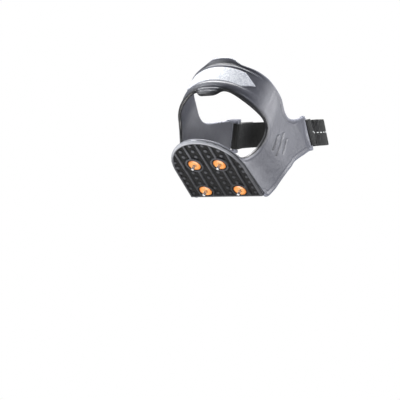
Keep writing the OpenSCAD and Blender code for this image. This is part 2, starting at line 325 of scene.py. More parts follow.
def normals(p):
    """Unit normals of a grid of points, from its two directions; they point away from the heel's middle."""
    n = unit(np.cross(np.gradient(p, axis=0), np.gradient(p, axis=1)))
    middle = p * (0, 0, 1) + (0, -12, 0)
    return n * np.where(np.sum(n * (p - middle), -1, keepdims=True) < 0, -1, 1)


print("form at mid height:", np.round(on_form(ROUND, 50.0), 1), "top:", np.round(on_form(0, 96.0), 1))

# %% [markdown]
# ## Slots for the strap
# Each wing ends in a slot, and the strap is folded round a bar at its far side. The slot has
# its own small frame: along it, out of it towards the instep, and away from the boot.

# %% Slot frame
SLOT_MID = np.array([48.4, 97.2])
SLANT = np.radians(42.5)
SLOT_DIR = np.array([np.cos(SLANT), -np.sin(SLANT)])
PULL_DIR = np.array([np.sin(SLANT), np.cos(SLANT)])
SLOT_GAP, ROD_R, WALL = 2.7, 2.4, 3.0


def wing_point(y, z):
    """Place on the right wing's outer face at distance y and height z."""
    return on_form(side_w(y, z), z)


def slot_point(along, out):
    """Place on the wing's face, in the slot's own two directions."""
    y, z = SLOT_MID + SLOT_DIR * along + PULL_DIR * out
    return wing_point(y, z)


slot_origin = slot_point(0, 0)
slot_along = unit(slot_point(13.5, 0) - slot_point(-13.5, 0))
slot_face = unit(np.cross(slot_along, unit(slot_point(0, 8) - slot_origin)))
slot_out = np.cross(slot_face, slot_along)
rod_mid = slot_origin + slot_out * (SLOT_GAP + ROD_R) - slot_face * WALL / 2
print("bar's middle", np.round(rod_mid, 2), "along", np.round(slot_along, 3))

# %% [markdown]
# ## The harness wall
# The wall is one strip: up one side from the floor, out into the wing, round the back as a
# heel band, and down the other side. It is laid out as a ladder of rungs, each from the rim of
# the heel window to the outer edge, so the grid follows the moulding's own outline. Both rims
# are softened by a running average. At each rung a ring goes over the outer face, round the
# rim, back inside and round the window's rim, so both edges are rolled like moulded rubber.

# %% Rungs of the wall, from the window's rim to the outer edge
# each rung is (window y, window z, outer y, outer z), and at the back x takes the place of y
rungs_side = np.array([
    (-24.0, 3.0, 26.5, 3.0), (-21.0, 5.2, 31.0, 3.8), (-18.5, 7.4, 33.6, 6.2),
    (-16.0, 10.0, 35.0, 9.0), (-13.0, 16.0, 37.0, 18.0), (-11.5, 23.0, 36.2, 29.0),
    (-11.6, 27.5, 36.6, 40.0), (-12.2, 31.5, 39.0, 52.0), (-12.7, 33.5, 43.0, 59.5),
    (-13.2, 35.4, 49.5, 70.0), (-13.7, 36.7, 56.5, 82.0), (-13.9, 37.2, 60.6, 86.0),
    (-14.5, 38.4, 48.4, 97.2), (-15.1, 39.6, 36.4, 108.2), (-15.9, 40.9, 28.0, 98.0),
    (-17.2, 42.8, 20.0, 89.0), (-18.8, 44.3, 12.5, 80.5), (-21.5, 45.9, 5.0, 75.8),
    (-25.5, 47.6, -3.0, 75.6), (-29.5, 48.0, -10.0, 79.0), (-33.0, 48.3, -15.0, 81.3),
    (-38.5, 49.0, -24.0, 83.2), (-46.0, 50.6, -35.0, 86.3), (-51.0, 52.6, -45.0, 87.4)])
rungs_back = np.array([
    (19.6, 54.7, 21.5, 87.4), (13.4, 55.0, 17.5, 89.2), (11.0, 50.2, 13.0, 92.2),
    (7.0, 47.6, 7.0, 95.2), (0.0, 47.3, 0.0, 96.3)])


def rim(side_y, side_z, back_x, back_z):
    """A rim's corners as (distance round, height)."""
    w = np.concatenate([side_w(side_y, side_z), back_w(back_x, back_z)])
    return np.stack([w, np.concatenate([side_z, back_z])], -1)


window_rim = rim(*rungs_side[:, :2].T, *rungs_back[:, :2].T)
outer_rim = rim(*rungs_side[:, 2:].T, *rungs_back[:, 2:].T)


def sampled(path, marks, at):
    """A path's columns at the distances in at, between the stations whose distances are marks."""
    return np.stack([np.interp(at, marks, column) for column in path.T], -1)


def averaged(line, half, step, reach):
    """A line's columns averaged over the bell exp(-(d/reach)^2/2); it loses half steps at each end."""
    bell = np.exp(-0.5 * (np.arange(-half, half + 1) * step / reach) ** 2)
    bell /= bell.sum()
    return np.stack([np.convolve(column, bell, "valid") for column in line.T], -1)


def softened(corners, at, marks, reach):
    """The broken line at even marks, averaged over a bell of that reach. Its floor end stays put, and
    at the middle of the back it runs on into its own mirror image, so it is level there."""
    line, step = sampled(corners, marks, at), at[1] - at[0]
    half = int(4 * reach / step)
    head, tail = 2 * line[0] - line[half:0:-1], line[-2:-half - 2:-1] * (-1, 1)
    return averaged(np.concatenate([head, line, tail]), half, step, reach)


rung_marks = np.concatenate([[0], np.cumsum(np.linalg.norm(np.diff(outer_rim, axis=0), axis=1))])
STATIONS = 300
at = np.linspace(0, rung_marks[-1], STATIONS)
window_line = softened(window_rim, at, rung_marks, 2.2)
outer_line = softened(outer_rim, at, rung_marks, 1.1)
print(f"outer edge of one side {rung_marks[-1]:.0f} mm in {STATIONS} rungs")

# %% [markdown]
# ## Relief on the moulding
# The outer face isn't plain. A pull tab rises at the top of the heel band as a crescent over a
# hollow, and the crescent's top is painted pale as a painted highlight. A thin ridge runs above
# the reflective strip and a full one below it, and the thick lip under the band has grip lines.
# Each wing has a shallow hollow where the strap pulls, a groove beside its slot, and three plain
# slanted grooves for decoration. These grooves and the band's hollows are also painted darker,
# as painted shade. All of the relief is one height, worked out for every point of the grid at
# once and added along the normal.

# %% Relief heights in mm
def nearest(points, line):
    """Distance from each (round, height) point to the closest of a rim's points."""
    flat = points.reshape(-1, 1, 2)
    return np.min(np.linalg.norm(flat - line[None], axis=-1), axis=1).reshape(points.shape[:2])


def stroke(y, z, middle, length, width):
    """1 inside a slanted groove with round ends, 0 outside, with soft sides: a capsule's distance."""
    way = np.array([0.206, -0.978])
    dy, dz = y - middle[0], z - middle[1]
    along = np.clip(dy * way[0] + dz * way[1], -length / 2, length / 2)
    gap = np.hypot(dy - along * way[0], dz - along * way[1])
    return 1 - smooth((gap - width / 2 + 0.35) / 0.7)


def all_strokes(y, z, width):
    """The three slanted grooves of a wing, each (middle, length)."""
    grooves = (((2.5, 43.0), 15), ((9.5, 47.0), 23), ((16.5, 51.0), 15))
    return sum(stroke(y, z, middle, length, width) for middle, length in grooves)


def above_crescent(w, z, foot):
    """Height above the crescent's lower edge, which is at foot in the middle and droops to both sides."""
    return z - (foot - 4.6 * (w / 28) ** 2)


def band_relief(w, z):
    """Crescent, hollow, ridges and grip lines of the heel band."""
    rise = above_crescent(w, z, 90.6)
    crescent = (1.3 * smooth(rise / 1.2) - 2.6 * np.clip(rise / 6, 0, 1.2)) * (1 - smooth((w - 20) / 9))
    hollow_mid, hollow_half = 87.4 - 3.6 * (w / 36) ** 2, 2.9 - 1.6 * smooth(w / 40)
    hollow = -1.5 * hump(z - hollow_mid, hollow_half) * (1 - smooth((w - 26) / 22))
    ridge_line = 82.5 - 1.6 * smooth((w - 14) / 20)
    above = 0.7 * hump(z - ridge_line, 0.8) * (1 - smooth((w - 30) / 10))
    bulge_mid = 60.4 - 1.2 * smooth((w - 14) / 24)
    below = 1.3 * smooth(1.2 - np.abs(z - bulge_mid) / 3.6) * (1 - smooth((w - 20) / 30))
    lip = (1 - smooth((w - 12) / 7)) * (1 - smooth((z - 57) / 1.5))
    lines = 1.3 * hump(z - 55.9, 0.6), 1.2 * hump(z - 52.4, 0.55), 1.0 * hump(z - 49.6, 0.5)
    grip = lip * (0.9 - lines[0] - lines[1] - lines[2])
    return crescent + hollow + above + below + grip


def wing_relief(y, z):
    """Hollow by the strap, groove and lip beside the slot, and three slanted grooves."""
    rel_y, rel_z = y - SLOT_MID[0], z - SLOT_MID[1]
    along = rel_y * SLOT_DIR[0] + rel_z * SLOT_DIR[1]
    out = rel_y * PULL_DIR[0] + rel_z * PULL_DIR[1]
    beside = 1 - smooth((np.abs(along) - 12.5) / 2.5)
    groove = -0.7 * hump(out + 3.0, 0.7) * beside
    lip = 0.45 * smooth((out + 2.4) / 0.8) * beside
    hollow = -1.9 * hump(along - 4, 8.0) * hump(out + 7, 4.5)
    return groove + lip + hollow - 0.8 * all_strokes(y, z, 1.6)


def relief(w, z, outer_gap, window_gap):
    """Everything the outer face adds to the plain form, with a low bead near both rims."""
    side = smooth((w - 55) / 8)
    y = on_form(w, z)[..., 1]
    beads = 0.35 * hump(outer_gap - 2.2, 1.1) - 0.25 * hump(outer_gap - 4.6, 0.8)
    beads = beads * side + 0.45 * hump(window_gap - 2.4, 1.3) * smooth((w - 24) / 10)
    return band_relief(w, z) * (1 - side) + wing_relief(y, z) * side + beads


print("deepest hollow of the band", round(float(band_relief(np.array(0.0), np.array(87.4))), 2), "mm")

# %% [markdown]
# The ring at each rung needs the directions across both rims, so that the rolled edge has the
# wall's full thickness however the rung slants. They come from the rim's own tangent and the
# form's normal.

# %% The wall of one side, mirrored into the whole strip
ACROSS, ROLL = 60, 6
ROLL_R = WALL / 2


def inset(line, other):
    """A rim moved towards the other one by the roll's radius, at right angles to its run, and averaged
    again, because the move can make it loop at a tight corner."""
    way = unit(np.gradient(line, axis=0))
    across = np.stack([way[:, 1], -way[:, 0]], -1)
    hand = 1 if np.sum(across * (other - line), -1).mean() > 0 else -1
    return softened(line + hand * ROLL_R * across, at, at, 1.5)


inner_start, inner_end = inset(window_line, outer_line), inset(outer_line, window_line)
for line in (inner_start, inner_end):
    line[-1, 0] = 0.0
share = np.linspace(0, 1, ACROSS) ** 0.9
lay = inner_start[:, None] * (1 - share[None, :, None]) + inner_end[:, None] * share[None, :, None]
outer_gap = nearest(lay, outer_line)
window_gap = nearest(lay, window_line)
face = on_form(lay[..., 0], lay[..., 1])
out = normals(face)
raised = relief(lay[..., 0], lay[..., 1], outer_gap, window_gap)
edge_fade = smooth((np.minimum(outer_gap, window_gap) - 1.2) / 1.2)
flush = np.where(outer_gap < window_gap, smooth((95 - lay[..., 1]) / 6), 1.0)
raised = raised * np.where(flush > 0.5, edge_fade, 1.0)
skin_out = face + out * raised[..., None]
skin_in = face - out * WALL


def roll(column, neighbour, square):
    """Points round a rim from the outer face to the inner: middle + r*(cos f * outwards + sin f * across),
    with across pointing away from the neighbouring column. Powers of the cosine and sine below 1 make
    the rim squarer."""
    top, n = skin_out[:, column], out[:, column]
    middle = (top + skin_in[:, column]) / 2
    reach = np.linalg.norm(top - middle, axis=-1)[:, None, None]
    across = np.cross(unit(np.gradient(face[:, column], axis=0)), n)
    across = across * np.sign(np.mean(np.sum(across * (face[:, column] - face[:, neighbour]), -1)))
    f = np.linspace(0, np.pi, ROLL + 2)[None, 1:-1, None]
    level = np.sign(np.cos(f)) * np.abs(np.cos(f)) ** square
    return middle[:, None] + reach * (level * n[:, None]) + ROLL_R * np.sin(f) ** square * across[:, None]


outer_roll, window_roll = roll(-1, -3, 0.8), roll(0, 2, 0.45)
half = ROLL // 2
ring = np.concatenate([window_roll[:, :half][:, ::-1], skin_out, outer_roll, skin_in[:, ::-1],
                       window_roll[:, half:][:, ::-1]], axis=1)
mirrored = ring[-2::-1] * (-1, 1, 1)
harness_ring = np.concatenate([ring, mirrored])
print("ring of", ring.shape[1], "points at", harness_ring.shape[0], "stations")

# %% Marks for the finish, and the wall itself
zero_roll, no_roll = np.zeros((STATIONS, half)), np.zeros((STATIONS, ROLL))
round_by, height, distance = lay[..., 0], lay[..., 1], face[..., 1]
low_rim = smooth((32 - height) / 10)
# The top of the tab's crescent is painted paler: a painted highlight where it faces up.
crescent_highlight = 0.8 * smooth(above_crescent(round_by, height, 90.8) / 1.5) * (1 - smooth((round_by - 20) / 8))
# The outer rim and the window's low rim are painted paler: a painted highlight line, with some wear.
worn_and_highlit_rims = np.maximum(crescent_highlight, hump(outer_gap, 1.6)) + hump(window_gap - 1.6, 1.0) * 0.5 * low_rim
clean_inside = np.zeros((STATIONS, ACROSS))
# Paler by wear and painted highlight: a little on the window's roll, fully on the outer roll, not at all
# inside.
wear_and_highlight = np.concatenate([zero_roll + 0.1, worn_and_highlit_rims, no_roll + 1, clean_inside, zero_roll], axis=1)
below_crescent = above_crescent(round_by, height, 90.0) < 0
# Painted shade in the band's hollows below the crescent.
painted_hollow_shade = np.clip(-raised - 0.3, 0, 0.55) * (distance < -20) * below_crescent
# Painted shade along the window's rim, less on its low part.
painted_rim_shade = 0.95 * hump(window_gap - 0.9, 1.7) * (1 - 0.8 * low_rim)
# Painted shade in the three slanted grooves, added to the two above.
painted_face_shade = 0.75 * all_strokes(distance, height, 1.4) + painted_hollow_shade + painted_rim_shade
# Painted shade over the whole inside of the wall.
painted_inside_shade = np.full((STATIONS, ACROSS), 0.25)
# Painted shade on both halves of the window's rolled rim, and the marks above on the outer face.
shaded = np.concatenate([zero_roll + 0.95, painted_face_shade, no_roll, painted_inside_shade, zero_roll + 0.95], axis=1)
both = [np.concatenate([mark, mark[-2::-1]]).ravel() for mark in (wear_and_highlight, shaded)]
make_piece("harness_wall", tube(harness_ring), harness_rubber,
           stands_for=["harness"], marks={"wear_and_highlight": both[0], "shaded": both[1]})

# %% [markdown]
# ## Floor plate
# Under the heel the moulding is a plate the shape of a D, 2.2 mm thick. Its edge shows all
# round the back, and boots stand on its top, so the top has low ribs that stop just short of
# the stud washers. It is a height over a flat grid whose rows follow the D: each row is as
# wide as the plate is there. Its edge stands in a little, which leaves a shadow line over the
# tread round the back, and it is hidden in the walls beside them.

# %% Rows of the D, shared by the plate and the tread
STUDS = np.array([(-13.0, -17.5), (13.0, -17.5), (-18.0, 17.5), (18.0, 17.5)])
FRONT_Y, PAD_TOP, FLOOR_TOP, PLATE_INSET = 26.5, 3.0, 5.2, 0.75
D_R, D_MID, D_LEAN = form_r(PAD_TOP), form_mid(PAD_TOP), form_lean(PAD_TOP)


def half_width(y):
    """The D's half width at distance y: the form's half circle, then its straight sides."""
    turn = np.pi / 2 - D_LEAN
    turn_y = D_MID - D_R * np.cos(turn)
    arc = np.sqrt(np.maximum(D_R ** 2 - (y - D_MID) ** 2, 0))
    return np.where(y < turn_y, arc, D_R * np.sin(turn) + (y - turn_y) * np.tan(D_LEAN))


def d_rows(curve_steps, straight_steps):
    """Distances of the rows: even in angle round the half circle, even along the sides."""
    a = np.radians(np.linspace(5, 88, curve_steps))
    arc = D_MID - D_R * np.cos(a)
    return np.concatenate([arc, np.linspace(arc[-1], FRONT_Y, straight_steps + 1)[1:]])


def stud_gap(x, y):
    """Distance to the middle of the nearest stud."""
    return np.min([np.hypot(x - sx, y - sy) for sx, sy in STUDS], axis=0)


def slab(rows, cols, low, high, inset_by, corner):
    """A closed D slab. low(x, y, gap) and high(x, y, gap) are the heights of its two faces, where
    gap is the distance in from the edge. The sides stand in by inset_by, and corners are cut by corner."""
    across = np.linspace(-1, 1, cols)[None, :]
    width = (half_width(rows) - inset_by)[:, None]
    x, y = across * (width - corner), np.broadcast_to(rows[:, None], (len(rows), cols))
    gap = np.minimum(width - np.abs(x), FRONT_Y - y)
    gap = np.where(y < D_MID, np.minimum(gap, D_R - np.hypot(x, y - D_MID)), gap)
    under = np.stack([x, y, low(x, y, gap)], -1)
    over = np.stack([x, y, high(x, y, gap)], -1)[:, ::-1]

    def side(hand):
        edge = np.stack([hand * width[:, 0], rows, 0 * rows], -1)
        lift = [under[:, -1, 2] + corner, over[:, 0, 2] - corner]
        return np.stack([np.concatenate([edge[:, :2], h[:, None]], -1) for h in lift], 1)

    ring = np.concatenate([side(-1)[:, :1], under, side(1), over, side(-1)[:, 1:]], axis=1)
    return ring, gap


def flat_at(height):
    """A level face, for slab()."""
    return lambda x, y, gap: height + 0 * x


def plate_top(x, y, gap):
    """The floor's top: ribs 0.45 high every 5 mm, clear of washers and edge, and a cove up each side."""
    ribs = smooth((np.abs(np.sin(np.pi * x / 5.0)) - 0.55) / 0.3)
    clear = smooth((stud_gap(x, y) - 7.2) / 0.6) * smooth((gap - 6.5) / 1.0)
    well = 0.45 * (1 - smooth((stud_gap(x, y) - 6.1) / 0.3))
    side_gap = half_width(y) - PLATE_INSET - np.abs(x)
    cove = 1.6 * smooth((3.4 - side_gap) / 2.6) * smooth((y + 24) / 6) * smooth((gap - 0.4) / 2.4)
    return FLOOR_TOP - 0.9 * smooth((1.2 - gap) / 1.0) * (y < -24) + 0.45 * ribs * clear - well + cove


plate_ring, _ = slab(d_rows(90, 48), 110, flat_at(PAD_TOP), plate_top, PLATE_INSET, 0.5)
plate_skin = tube(plate_ring)
flat_marks = {"wear_and_highlight": np.where(plate_skin[0][:, 2] > 3.1, 0.25, 0.8), "shaded": 0 * plate_skin[0][:, 0]}
make_piece("harness_floor", plate_skin, harness_rubber, marks=flat_marks)

# %% [markdown]
# ## Ears and bar
# Two flat ears reach out past each slot, with rounded ends, and a round bar joins them. Each
# is a section carried along a line, whose size follows a curve that closes almost to nothing at
# a rounded end. An ear swells slowly out of the wing, so that no step shows where it starts.

# %% Ears and bars of both slots
def capsule(middle, ways, start, end, half_u, half_v, sides=20, power=3.0, swell=1.0):
    """A bar from start to end along the third of its ways: its section over the first two is
    |u|^p + |v|^p = 1, and both ends are domed, the first one swell times longer."""
    u, v, length_way = ways
    s = np.linspace(0, 1, 40)
    dome = min(half_u, half_v) / (end - start)
    near = np.clip(np.minimum(s / swell, 1 - s) / dome, 0.0004, 1)
    size = np.sqrt(near * (2 - near))[:, None, None]
    f = 2 * np.pi * (np.arange(sides) + 0.5) / sides
    cu, cv = (np.sign(c) * np.abs(c) ** (2 / power) for c in (np.cos(f), np.sin(f)))
    centre = middle + (start + (end - start) * s)[:, None, None] * length_way
    return centre + size * (half_u * cu[None, :, None] * u + half_v * cv[None, :, None] * v)


def slot_frame(hand):
    """Ears and bar of one slot, on the right where hand is 1."""
    side = np.array([hand, 1, 1])
    mid = slot_origin - slot_face * WALL / 2
    ears = [capsule(mid + slot_along * a, (slot_along, slot_face, slot_out), -9, end, 1.75, 1.6, swell=4.0)
            for a, end in ((-15.0, 9.6), (15.1, 9.7))]
    bar = capsule(rod_mid, (slot_out, slot_face, slot_along), -15.6, 15.6, ROD_R, ROD_R, sides=28, power=2.0)
    return [tube(part * side) for part in ears + [bar]]


frame_skin = joined(slot_frame(1) + slot_frame(-1))
# The ears and bar are paler all over by the same mark as the wall's rims: wear and a painted highlight.
frame_marks = {"wear_and_highlight": np.full(len(frame_skin[0]), 0.75), "shaded": np.zeros(len(frame_skin[0]))}
make_piece("harness_slot_frames", frame_skin, harness_rubber, marks=frame_marks)

# %% [markdown]
# ## Tread rubber
# The tread is a harder, blacker rubber. Its cells are full of shade. The tops of its ribs are
# scuffed to grey by the ground and painted paler towards the back as painted light, and the
# scuffing follows how proud each point stands. The rim is painted pale grey, a painted highlight
# that is strongest round the back.

# %% Tread finish
def scuffed_and_highlit_rubber():
    """Black rubber: grey where the mark 'proud' is 1 (scuffing, with painted light towards the back), pale
    grey where the mark 'rim' is 1 (a painted highlight), with a fine sandy grain.
    """
    f = Finish("tread_rubber", Specular_IOR_Level=0.28, IOR=1.5)
    patch = f.spread(f.noise(0.005, 5), 0.3, 0.7, 0.5, 1.0)
    # Grey by the mark 'proud': scuffing, with painted light towards the back.
    scuff_and_light = f.times(f.mark("proud"), patch)
    colour = f.mottle(0.002, 3, (0.0025, 0.0027, 0.003), (0.006, 0.0062, 0.007))
    colour = f.mix(scuff_and_light, colour, (0.14, 0.145, 0.16))
    # Pale grey by the mark 'rim': a painted highlight round the rim.
    colour = f.mix(f.mark("rim"), colour, (0.62, 0.635, 0.68))
    f.to("Base Color", colour)
    f.gloss(0.0012, 4, 0.42, 0.66)
    f.bumps((f.noise(0.0004, 2), 0.0001), (f.noise(0.0025, 3), 0.00015))
    return f.material


tread_rubber = scuffed_and_highlit_rubber()

# %% [markdown]
# ## Tread pad
# The pattern is cut 2 mm deep: five long ribs, a row of small knobs in each gap between them, a
# raised ring round each stud, and a rolled rim. As a height over the D's grid, each feature is
# one line, and the lowest of them wins at each point, as it would in a mould.

# %% Tread pattern
DEPTH, RIB_PITCH, KNOB_PITCH, RING_AT = 2.0, 13.0, 7.0, 7.75
PAD_COLS = 144


def lug(gap, half, drop, soft=0.45):
    """Depth of a lug whose middle line is gap away: drop on top, full depth beyond its half width."""
    return drop + (DEPTH - drop) * smooth((gap - half + soft / 2) / soft)


def tread_low(x, y, gap):
    """Height of the tread's underside: 0 at the ground faces, 2 in the cells, 1.6 round each head."""
    off_rib = np.abs(x - RIB_PITCH * np.clip(np.round(x / RIB_PITCH), -2, 2))
    knob_x = x - RIB_PITCH * (np.floor(x / RIB_PITCH) + 0.5)
    knob_y = y - KNOB_PITCH * np.round(y / KNOB_PITCH)
    off_knob = np.hypot(knob_x, knob_y)
    knob = lug(off_knob, 1.8, 0.4) + 0.25 * smooth(off_knob / 1.8)
    stud = stud_gap(x, y)
    low = np.minimum(np.minimum(lug(off_rib, 1.1, 0.4), knob), lug(np.abs(stud - RING_AT), 0.9, 0.0))
    low = np.where(stud < RING_AT, lug(RING_AT - stud, 0.8, 0.0), low)
    rim = lug(np.abs(gap - 1.4), 1.3, 0.0, 0.6)
    rim_roll = 1.1 * smooth((1.5 - gap) / 1.5) ** 2
    return np.minimum(np.minimum(low, rim) + np.where(gap < 1.5, rim_roll, 0), DEPTH)


pad_rows = d_rows(170, 90)
pad_ring, pad_gap = slab(pad_rows, PAD_COLS, tread_low, flat_at(PAD_TOP - 0.05), 0, 0.25)
pad_skin = tube(pad_ring)
rim_highlight_mark = np.ones(pad_ring.shape[:2])
# The underside near the edge is marked for the pale rim: a painted highlight.
rim_highlight_mark[:, 1:PAD_COLS + 1] = smooth((2.4 - pad_gap) / 1.2)
# On the sides only the left low point stays pale. The other side points stay nearly black, a painted shadow
# line below the plate.
rim_highlight_mark[:, [0, -1, PAD_COLS + 1, PAD_COLS + 2]] = [0.85, 0.1, 0.1, 0.1]
# The rim's paleness grows towards the back: painted light.
rim_highlight_mark *= 0.12 + 0.75 * smooth((-20 - pad_rows) / 22)[:, None]
# The scuffed tops are painted paler towards the back: painted light.
painted_light_to_back = 0.35 + 0.65 * smooth((20 - pad_skin[0][:, 1]) / 60)
marks = {"proud": smooth((1.5 - pad_skin[0][:, 2]) / 1.0) * painted_light_to_back, "rim": rim_highlight_mark.ravel()}
make_piece("tread_pad_cut", pad_skin, tread_rubber, stands_for=["tread_pad"],
           marks=marks)

# %% [markdown]
# ## Studs
# A stud is an orange turned head sunk in its ring, with a hard metal pin standing 5 mm out of
# its middle, and a shank riveted over a steel washer on the far side. All three are turned
# shapes, so each is a profile spun round the stud's axis. The spin is one outer product.

# %% Stud finishes
def painted_head():
    """Orange lacquer, paler by wear where the mark 'proud' is 1, near black on the sunken bevel as painted
    shade, bare steel by 'shank'.
    """
    f = Finish("orange_lacquer", Coat_Weight=0.5, Coat_Roughness=0.18, Specular_IOR_Level=0.5)
    colour = f.mottle(0.0025, 4, (0.93, 0.26, 0.03), (0.98, 0.37, 0.07))
    paler_share = f.times(f.mark("proud"), f.spread(f.noise(0.0012, 4), 0.4, 0.6, 0.25, 0.85))
    colour = f.mix(paler_share, colour, (1.0, 0.55, 0.2))
    # Dark brown on the sunken bevel of the head: painted shade.
    colour = f.mix(f.mark("painted_bevel_shade"), colour, (0.03, 0.012, 0.005))
    f.to("Base Color", f.mix(f.mark("shank"), colour, (0.2, 0.2, 0.21)))
    f.gloss(0.0015, 4, 0.28, 0.46)
    f.bumps((f.noise(0.0004, 3), 0.00004), (f.noise(0.002, 2), 0.00008))
    return f.material


def bare_metal(name, dull, bright, gloss, grain, metal=1.0):
    """Steel or carbide: metal, mottled, with a fine grain in its gloss."""
    f = Finish(name, Metallic=metal)
    f.to("Base Color", f.mottle(grain * 4, 4, dull, bright))
    f.gloss(grain, 4, gloss - 0.07, gloss + 0.1)
    f.bumps((f.noise(grain, 3), 0.00003))
    return f.material


orange_lacquer = painted_head()
tip_carbide = bare_metal("tip_carbide", (0.78, 0.78, 0.8), (0.95, 0.95, 0.96), 0.32, 0.0003, metal=0.35)
washer_steel = bare_metal("washer_steel", (0.4, 0.41, 0.43), (0.62, 0.63, 0.65), 0.38, 0.0005)

# %% Turned shapes
def turned(profile, centre, steps=48):
    """A closed skin: each (radius, height) of the profile spun round the vertical at centre."""
    f = 2 * np.pi * np.arange(steps) / steps
    r, h = np.asarray(profile, float).T
    r = np.maximum(r, 0.01)
    x = centre[0] + r[:, None] * np.cos(f + np.pi / steps)
    y = centre[1] + r[:, None] * np.sin(f + np.pi / steps)
    return tube(np.stack([x, y, np.broadcast_to(h[:, None], x.shape)], -1))


def eased(corners, steps=5):
    """A profile whose inner corners are cut by short curves, each a quadratic between its two sides."""
    c = np.asarray(corners, float)
    before, here, after = c[:-2], c[1:-1], c[2:]
    shorter = np.minimum(np.linalg.norm(here - before, axis=1), np.linalg.norm(after - here, axis=1))
    cut = np.minimum(0.25, 0.4 * shorter)
    a, b = here + unit(before - here) * cut[:, None], here + unit(after - here) * cut[:, None]
    t = np.linspace(0, 1, steps)[None, :, None]
    curve = (1 - t) ** 2 * a[:, None] + 2 * t * (1 - t) * here[:, None] + t ** 2 * b[:, None]
    return np.concatenate([c[:1], curve.reshape(-1, 2), c[-1:]])


# Profiles as (radius, height)
HEAD_PROFILE = [(0, 2.55), (1.4, 2.55), (1.42, -0.1), (1.75, -0.2), (2.2, -0.2), (2.5, 0.02),
                (2.8, -0.16), (3.9, -0.1), (4.6, 0.12), (5.75, 0.42), (6.2, 0.75), (6.2, 1.95),
                (3.0, 1.98), (3.0, 5.15), (0, 5.2)]
TIP_PROFILE = [(0, -5.0), (0.95, -5.0), (1.38, -4.55), (1.38, -0.3), (1.3, -0.15), (1.38, 0.0),
               (1.38, 2.5), (0, 2.5)]
WASHER_PROFILE = [(3.02, 4.22), (5.95, 4.22), (5.95, 5.12), (5.2, 5.2), (4.9, 5.08), (4.5, 5.08),
                  (4.2, 5.2), (3.02, 5.2)]


def washer(centre, steps=56):
    """A closed ring: the washer's own closed profile spun round the vertical at centre."""
    r, h = eased(WASHER_PROFILE + WASHER_PROFILE[:1])[:-1].T
    spin = 2 * np.pi * np.arange(steps) / steps
    x, y = centre[0] + r * np.cos(spin)[:, None], centre[1] + r * np.sin(spin)[:, None]
    points = np.stack([x, y, np.broadcast_to(h, x.shape)], -1)
    faces = grid_faces(steps + 1, len(r), ring=True) % (steps * len(r))
    return points.reshape(-1, 3), faces


for k, stud in enumerate(STUDS, start=1):
    head = turned(eased(HEAD_PROFILE), stud)
    height = head[0][:, 2]
    # The head's bevel above 0.3 mm is marked for painted shade.
    make_piece(f"stud_head_{k}", head, orange_lacquer, stands_for=[f"stud_body_{k}"],
               marks={"proud": smooth((0.3 - height) / 0.5), "painted_bevel_shade": smooth((height - 0.3) / 0.35),
                      "shank": smooth((height - 2.2) / 0.3)})
    make_piece(f"stud_pin_{k}", turned(eased(TIP_PROFILE), stud, 32), tip_carbide,
               stands_for=[f"stud_tip_{k}"])
    make_piece(f"washer_{k}", washer(stud), washer_steel,
               stands_for=[f"stud_washer_{k}"])

# %% [markdown]
# ## Reflective strip
# The strip is white tape full of glass beads, with pointed ends. It lies on the band and is
# 0.6 mm thick. Its grid runs from point to point and from its lower edge to its upper one, and
# beads show as a fine cell pattern: cells are Voronoi distances, as bump and as a faint tint.

# %% Strip
def beaded_tape():
    """White tape: bright cells, greyer seams, a bead bump, and a faint painted glow that stands in for the
    light the beads throw back.
    """
    f = Finish("beaded_tape", Coat_Weight=0.25, Coat_Roughness=0.3,
               Emission_Color=(0.92, 0.95, 1.0, 1), Emission_Strength=0.05)
    beads, cells = (f.add("ShaderNodeTexVoronoi", {"Vector": f.place, "Scale": scale}).outputs["Distance"]
                    for scale in (1100.0, 620.0))
    seams = f.spread(cells, 0.3, 0.75, 0, 1)
    broad = f.spread(f.noise(0.003, 4), 0.35, 0.65, 0, 0.3)
    colour = f.mix(f.times(seams, 0.5), (0.84, 0.86, 0.9), (0.3, 0.33, 0.42))
    f.to("Base Color", f.mix(broad, colour, (0.78, 0.81, 0.85)))
    f.gloss(0.001, 3, 0.35, 0.55)
    f.bumps((beads, 0.0001))
    return f.material


STRIP_TOP = np.array([(0, 80.6), (14, 80.3), (26.5, 79.2), (36, 69.8)])
STRIP_LOW = np.array([(0, 64.2), (14, 63.8), (26.7, 62.6), (36, 69.8)])
strip_x = 35.9 * np.sin(np.linspace(-np.pi / 2, np.pi / 2, 181) * 0.999)
strip_top = np.interp(np.abs(strip_x), *STRIP_TOP.T)
strip_low = np.interp(np.abs(strip_x), *STRIP_LOW.T)
rise = np.linspace(0, 1, 40)[None, :]
strip_z = strip_low[:, None] + (strip_top - strip_low)[:, None] * rise
strip_w = back_w(strip_x[:, None], strip_z)
edge = np.minimum(rise, 1 - rise) * (strip_top - strip_low)[:, None]
proud_by = 0.15 + 0.45 * smooth(edge / 0.5)
top, foot = on_form(strip_w, strip_z, proud_by), on_form(strip_w, strip_z, -0.3)
make_piece("reflective_tape_strip", tube(np.concatenate([top, foot[:, ::-1]], axis=1)), beaded_tape(),
           stands_for=["reflective_strip"])

# %% [markdown]
# ## The strap's path
# The strap is flat nylon webbing, 25 mm wide. One end is folded round the right bar and sewn
# back on itself, the middle arches over the instep, and the free end goes round the left bar
# and folds back as the hook-and-loop flap. Webbing keeps its length and bends only one way, so
# it is modelled directly as a ribbon along a path: a list of places, each with the direction
# of the ribbon's width.

